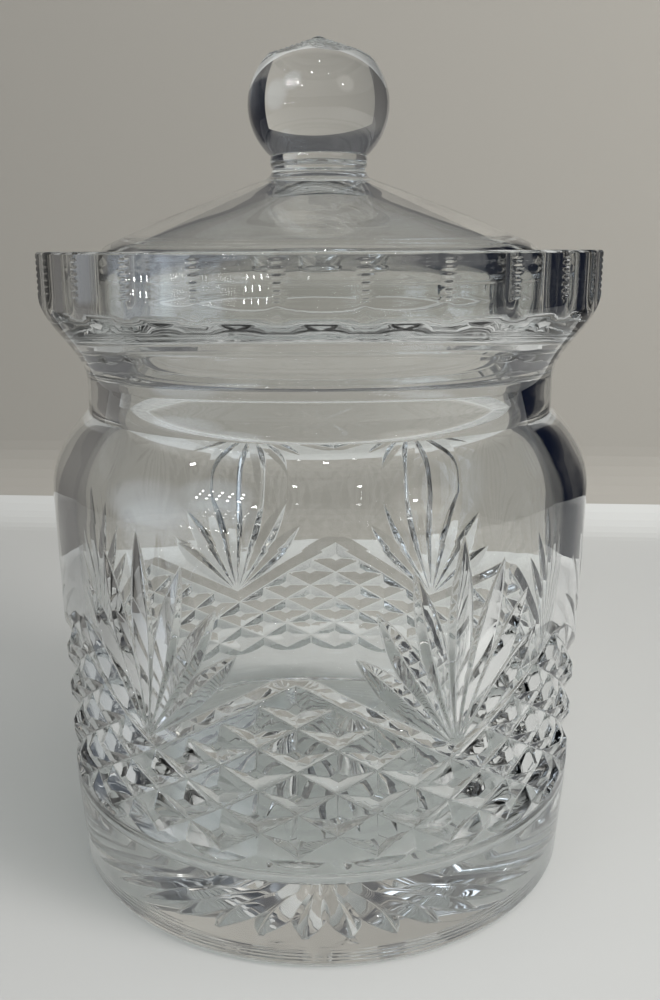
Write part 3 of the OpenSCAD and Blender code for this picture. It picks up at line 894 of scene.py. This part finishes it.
def sheet(name, x, y, z):
    """A ruled sheet through a row of (y, z) points, between two values of x."""
    n = len(y)
    points = np.concatenate([np.stack([np.full(n, end), y, z], 1) for end in x])
    i = np.arange(n - 1)
    faces = np.stack([i, i + n, i + n + 1, i + 1], 1)
    mesh = bpy.data.meshes.new(name)
    mesh.from_pydata((points / 1000).tolist(), [], faces.tolist())
    mesh.update()
    piece = bpy.data.objects.new(name, mesh)
    bpy.context.scene.collection.objects.link(piece)
    return piece


sweep = np.radians(np.linspace(0, 90, 13))
cove_y, cove_z = COVE_Y + COVE_R * np.sin(sweep), COVE_R - FLOOR_DROP - COVE_R * np.cos(sweep)
floor_y, floor_z = np.append(FLOOR_FRONT, cove_y[:7]), np.append(-FLOOR_DROP, cove_z[:7])
floor = sheet("floor", (-FLOOR_HALF, FLOOR_HALF), floor_y, floor_z)
floor.data.materials.append(plain_surface("counter", (0.43, 0.43, 0.415), 0.5))
wall_y, wall_z = np.append(cove_y[6:], COVE_Y + COVE_R), np.append(cove_z[6:], WALL_TOP)
wall = sheet("wall", WALL_X, wall_y, wall_z)
wall.data.materials.append(plain_surface("backdrop", (0.265, 0.25, 0.222), 0.8))


# ---------------------------------------------------------------- light
# A wide soft lamp above and a stronger one at the right, which the glass itself doesn't show, then
# small round lamps at the left and above that do show, as clusters of sparks on the cuts and walls.
SOFT_LAMPS = (("soft_top", (0.25, -0.25, 1.3), 0.9, 8.3), ("soft_right", (0.8, -0.4, 0.55), 0.4, 12.0))
GRID_AT, GRID_COLUMN, GRID_ROW = (-1.3, -1.1, 1.0), (0.13, -0.06, 0.0), (0.0, 0.0, 0.13)
BEAD_AT, BEAD_COLUMN, BEAD_ROW = (-0.80, -1.33, 0.07), (-0.08, 0.06, 0.0), (-0.03, 0.0, 0.022)
SINGLE_SPOTS = (
    (0.5, -1.1, 1.4),
    (-0.2, -1.3, 1.6),
    (0.1, -0.6, 1.7),
    (-0.9, -0.3, 1.2),
    (0.9, -0.9, 0.8),
    (-0.5, -1.2, 0.75),
)


def lamp(name, where, aim, size, power):
    """A round flat lamp at a place, facing a point."""
    light = bpy.data.lights.new(name, "AREA")
    light.shape = "DISK"
    light.size = size
    light.energy = power
    holder = bpy.data.objects.new(name, light)
    bpy.context.scene.collection.objects.link(holder)
    holder.location = where
    holder.rotation_euler = (Vector(aim) - Vector(where)).to_track_quat("-Z", "Y").to_euler()
    return holder


def lamp_grid(name, first, column_step, row_step, rows, columns, size, power):
    """Rows and columns of small lamps at even steps from the first."""
    for row in range(rows):
        for column in range(columns):
            where = np.array(first) + column * np.array(column_step) + row * np.array(row_step)
            lamp(f"{name}_{row}_{column}", where, (0, 0, 0.15), size, power)


for name, where, size, power in SOFT_LAMPS:
    soft = lamp(name, where, (0, 0, 0.1), size, power)
    soft.visible_glossy = False
    soft.visible_transmission = False
lamp_grid("spot", GRID_AT, GRID_COLUMN, GRID_ROW, 3, 5, 0.036, 0.25)
lamp_grid("bead", BEAD_AT, BEAD_COLUMN, BEAD_ROW, 3, 6, 0.012, 0.02)
for i, where in enumerate(SINGLE_SPOTS):
    lamp(f"spot_{i}", where, (0, 0, 0.15), 0.05, 0.45)

# The room: dim low down and a little lighter above, a darker ceiling behind the wall, a dark right
# side that is darkest just past the wall's end, two cool windows at the left and a warmer one at the
# right in front. What the camera itself sees past the floor and the wall is one plain grey.
world = bpy.data.worlds.new("room")
bpy.context.scene.world = world
world.use_nodes = True
nodes, links = world.node_tree.nodes, world.node_tree.links
place = nodes.new("ShaderNodeTexCoord")
split = nodes.new("ShaderNodeSeparateXYZ")
links.new(place.outputs["Generated"], split.inputs[0])


def ramp(value, ends, to):
    """A smooth ramp of a value between two ends, to two levels."""
    node = nodes.new("ShaderNodeMapRange")
    node.interpolation_type = "SMOOTHSTEP"
    links.new(value, node.inputs["Value"])
    node.inputs["From Min"].default_value, node.inputs["From Max"].default_value = ends
    node.inputs["To Min"].default_value, node.inputs["To Max"].default_value = to
    return node.outputs["Result"]


def product(a, b):
    """Two values multiplied."""
    node = nodes.new("ShaderNodeMath")
    node.operation = "MULTIPLY"
    links.new(a, node.inputs[0])
    links.new(b, node.inputs[1])
    return node.outputs[0]


def facing(way):
    """How closely a direction agrees with this one, as the cosine of the angle between them."""
    node = nodes.new("ShaderNodeVectorMath")
    node.operation = "DOT_PRODUCT"
    node.inputs[1].default_value = np.array(way) / np.linalg.norm(way)
    links.new(place.outputs["Generated"], node.inputs[0])
    return node.outputs["Value"]


def blended(factor, low, high):
    """Two colours mixed by a value; either may come from another node."""
    node = nodes.new("ShaderNodeMix")
    node.data_type = "RGBA"
    links.new(factor, node.inputs[0])
    for socket, colour in ((node.inputs[6], low), (node.inputs[7], high)):
        if isinstance(colour, tuple):
            socket.default_value = colour
        else:
            links.new(colour, socket)
    return node.outputs[2]


up_z, back_y = split.outputs["Z"], split.outputs["Y"]
room = blended(ramp(up_z, (-0.2, 0.8), (0, 1)), (0.13, 0.125, 0.12, 1), (0.215, 0.21, 0.20, 1))
back_up = product(ramp(back_y, (0.0, 0.3), (0, 1)), ramp(up_z, (0.3, 0.45), (0, 1)))
room = blended(back_up, room, (0.09, 0.09, 0.095, 1))
for way, ends, colour in (
    ((1.0, 0.0, 0.15), (0.70, 0.92), (0.025, 0.03, 0.04, 1)),
    ((-0.9, -0.35, 0.2), (0.90, 0.99), (1.6, 1.8, 2.05, 1)),
    ((-0.6, -0.62, 0.55), (0.95, 0.99), (1.6, 1.85, 2.1, 1)),
    ((0.75, -0.6, 0.5), (0.96, 0.99), (1.3, 1.25, 1.15, 1)),
):
    room = blended(ramp(facing(way), ends, (0, 1)), room, colour)
dark = product(ramp(facing((0.77, 0.64, 0.1)), (0.885, 0.92), (0, 1)), ramp(up_z, (-0.3, -0.2), (0, 1)))
room = blended(dark, room, (0.004, 0.006, 0.014, 1))
path = nodes.new("ShaderNodeLightPath")
room = blended(path.outputs["Is Camera Ray"], room, (0.30, 0.29, 0.27, 1))
links.new(room, nodes["Background"].inputs["Color"])

bpy.context.scene.view_settings.view_transform = "Standard"
cycles = bpy.context.scene.cycles
cycles.max_bounces = 24
cycles.transmission_bounces = 24
cycles.glossy_bounces = 8
cycles.diffuse_bounces = 3
